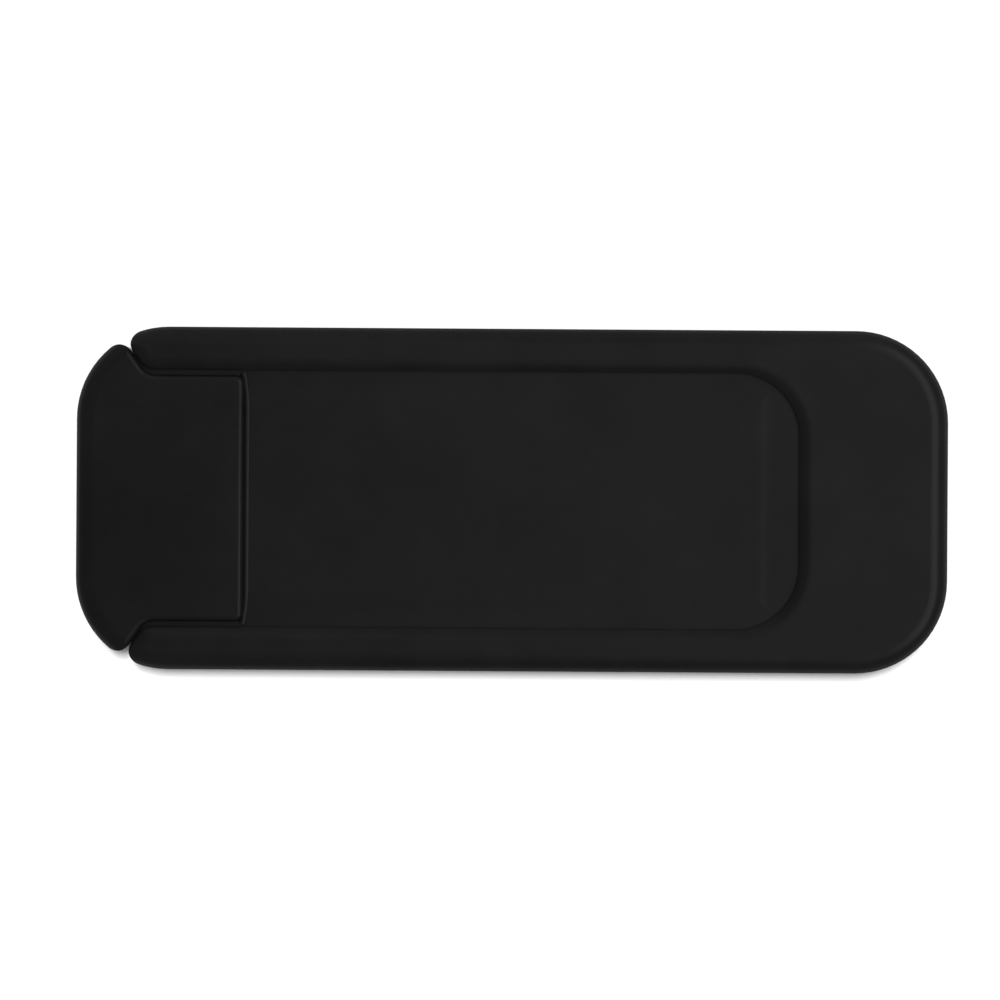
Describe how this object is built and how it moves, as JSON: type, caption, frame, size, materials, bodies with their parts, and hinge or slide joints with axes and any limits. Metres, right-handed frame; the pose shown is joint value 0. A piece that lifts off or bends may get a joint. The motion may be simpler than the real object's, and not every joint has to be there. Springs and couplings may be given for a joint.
{
  "type": "webcam cover slider",
  "caption": "Stick-on sliding webcam cover: a flat U-frame with soft edges and a T-shaped slider whose tongue runs in the frame's grooves and shuts the lens window.",
  "frame": {"origin": "under the middle of the closed cover, on its adhesive face", "axes": "+X along the slide towards the frame's closed end, +Y across the rails, +Z out of the adhesive face towards the user"},
  "size_m": [0.0434, 0.0172, 0.0028],
  "materials": {
    "frame_abs": "black ABS, moulded, fine satin texture",
    "slider_abs": "black ABS, moulded, fine satin texture",
    "foam_tape": "black foam with a tacky film on its lower face"
  },
  "bodies": {
    "frame": {"frame": "frame_abs", "adhesive_tape": "foam_tape"},
    "slider": {"slider": "slider_abs"}
  },
  "joints": [
    {"name": "shutter_slide", "type": "slide", "parent": "frame", "child": "slider", "axis": [-1, 0, 0], "range_m": [0, 0.015]}
  ]
}
